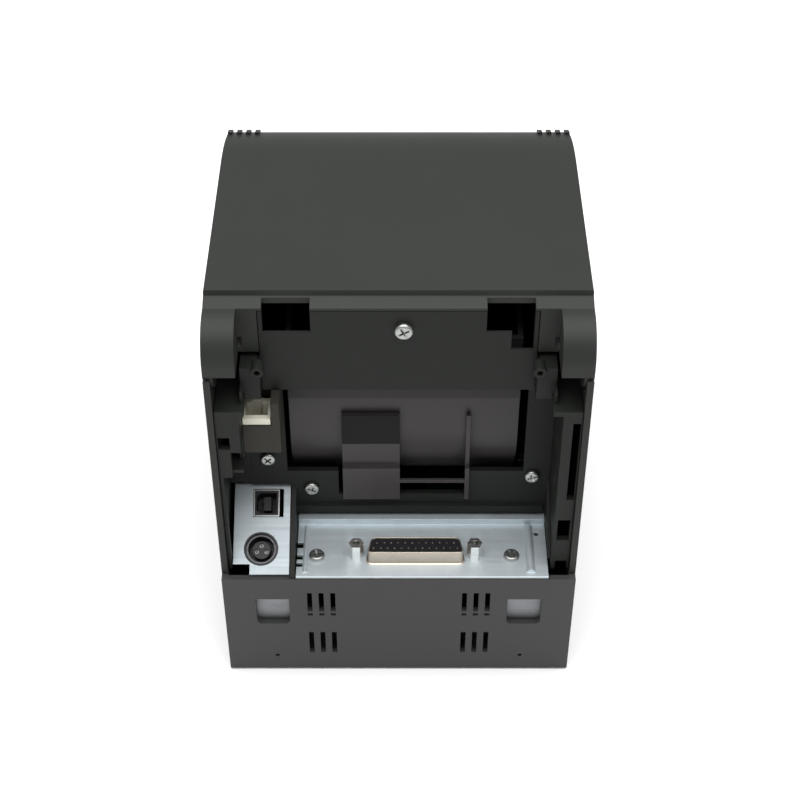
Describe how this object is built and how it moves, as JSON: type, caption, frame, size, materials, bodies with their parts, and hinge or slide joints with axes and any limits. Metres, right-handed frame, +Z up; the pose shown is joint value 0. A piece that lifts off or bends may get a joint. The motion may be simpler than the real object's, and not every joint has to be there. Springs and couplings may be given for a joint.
{
  "type": "thermal receipt printer",
  "caption": "Upright receipt printer with a hinged curved cover, a deep rear recess with a wide multi-pin socket, a USB socket, a round power socket and a drawer jack, and vents below.",
  "frame": {"origin": "centre of the footprint on the surface that the rubber feet stand on", "axes": "+Z up, +Y towards the rear with the sockets, +X to the left when looking at the rear"},
  "size_m": [0.14, 0.203, 0.1799],
  "materials": {
    "case_plastic": "fine matt texture",
    "tray_plastic": "fine matt texture",
    "frame_plastic": "satin",
    "tub_plastic": "satin",
    "zinc_steel": "zinc plated",
    "inner_steel": "zinc plated",
    "screw_steel": "bright zinc",
    "shell_plating": "nickel plated",
    "socket_steel": "tin plated",
    "black_plastic": "satin black",
    "jack_plastic": "cream",
    "contact_metal": "gold flash",
    "pin_steel": "ground",
    "foot_rubber": "matt",
    "roller_rubber": "fine matt",
    "gear_plastic": "white acetal",
    "board_green": "solder mask",
    "chip_black": "moulded",
    "head_ceramic": "glazed",
    "sink_aluminium": "extruded",
    "motor_metal": "zinc plated",
    "panel_grey": "smooth",
    "key_grey": "smooth",
    "led_lens": "clear"
  },
  "bodies": {
    "base": {"base_tray": "tray_plastic", "board_parts": "chip_black", "board_screws": "screw_steel", "centre_panel": "frame_plastic", "centre_screw": "screw_steel", "chassis_plate": "inner_steel", "control_panel": "panel_grey", "cutter_body": "frame_plastic", "cutter_motor": "motor_metal", "drawer_jack": "jack_plastic", "dsub_insulator": "black_plastic", "dsub_shell": "shell_plating", "dsub_standoffs": "screw_steel", "feed_motor": "motor_metal", "frame_pillars": "frame_plastic", "frame_screws": "screw_steel", "front_cover": "case_plastic", "head_springs": "pin_steel", "hinge_brackets": "frame_plastic", "hinge_pins": "pin_steel", "interface_board": "board_green", "interface_plate": "zinc_steel", "interface_screws": "screw_steel", "jack_block": "frame_plastic", "jack_contacts": "contact_metal", "main_board": "board_green", "main_case": "case_plastic", "mech_frame": "inner_steel", "paper_sensor": "black_plastic", "paper_tub": "tub_plastic", "power_socket_body": "black_plastic", "power_socket_pins": "contact_metal", "power_socket_shield": "socket_steel", "power_usb_plate": "zinc_steel", "rear_frame": "frame_plastic", "rear_panel": "tray_plastic", "rocker_frame": "black_plastic", "rubber_feet": "foot_rubber", "status_leds": "led_lens", "tray_posts": "frame_plastic", "tub_bridge": "tub_plastic", "usb_shell": "socket_steel", "usb_tongue": "black_plastic"},
    "cover": {"cover_shell": "case_plastic", "cover_inner": "frame_plastic", "platen_holder": "inner_steel", "platen_bushings": "gear_plastic", "fixed_blade": "pin_steel"},
    "platen": {"platen_roller": "roller_rubber", "platen_shaft": "pin_steel", "platen_gear": "gear_plastic"},
    "idler": {"idler_gear": "gear_plastic"},
    "motor_rotor": {"motor_pinion": "pin_steel"},
    "cutter": {"cutter_blade": "pin_steel"},
    "print_head": {"thermal_head": "head_ceramic", "heat_sink": "sink_aluminium"},
    "feed_key": {"feed_button": "key_grey"},
    "release_key": {"release_button": "key_grey"},
    "latch": {"latch_shaft": "pin_steel"},
    "power_switch": {"power_rocker": "black_plastic"}
  },
  "joints": [
    {"name": "cover_hinge", "type": "hinge", "parent": "base", "child": "cover", "pos_m": [0, 0.0805, 0.1604], "axis": [-1, 0, 0], "range_deg": [0, 93]},
    {"name": "platen_spin", "type": "hinge", "parent": "cover", "child": "platen", "pos_m": [0, -0.0285, 0.1524], "axis": [1, 0, 0], "continuous": true},
    {"name": "idler_spin", "type": "hinge", "parent": "base", "child": "idler", "pos_m": [0, -0.0285, 0.1274], "axis": [1, 0, 0], "continuous": true},
    {"name": "motor_spin", "type": "hinge", "parent": "base", "child": "motor_rotor", "pos_m": [0, -0.0457, 0.11535], "axis": [1, 0, 0], "continuous": true},
    {"name": "cutter_slide", "type": "slide", "parent": "base", "child": "cutter", "axis": [0, 1, 0], "range_m": [0, 0.0044]},
    {"name": "head_tilt", "type": "hinge", "parent": "base", "child": "print_head", "pos_m": [0, -0.04, 0.1414], "axis": [1, 0, 0], "range_deg": [0, 2], "stiffness_Nm_per_rad": 6, "springref_deg": -3.44, "deforming": ["head_springs"]},
    {"name": "feed_press", "type": "slide", "parent": "base", "child": "feed_key", "axis": [0, 0.5745, -0.8185], "range_m": [0, 0.0015], "stiffness_N_per_m": 400, "springref_m": -0.001},
    {"name": "release_press", "type": "slide", "parent": "base", "child": "release_key", "axis": [0, 0.5745, -0.8185], "range_m": [0, 0.004], "stiffness_N_per_m": 300, "springref_m": -0.002},
    {"name": "latch_turn", "type": "hinge", "parent": "base", "child": "latch", "pos_m": [0, -0.051, 0.1364], "axis": [1, 0, 0], "range_deg": [0, 14]},
    {"name": "power_rock", "type": "hinge", "parent": "base", "child": "power_switch", "pos_m": [-0.043, -0.0965, 0.0394], "axis": [1, 0, 0], "range_deg": [0, 12]}
  ],
  "couplings": [
    {"joint": "idler_spin", "follows": "platen_spin", "ratio": -0.66667},
    {"joint": "motor_spin", "follows": "platen_spin", "ratio": 1.6667},
    {"joint": "latch_turn", "follows": "release_press", "rad_per_m": 56}
  ]
}
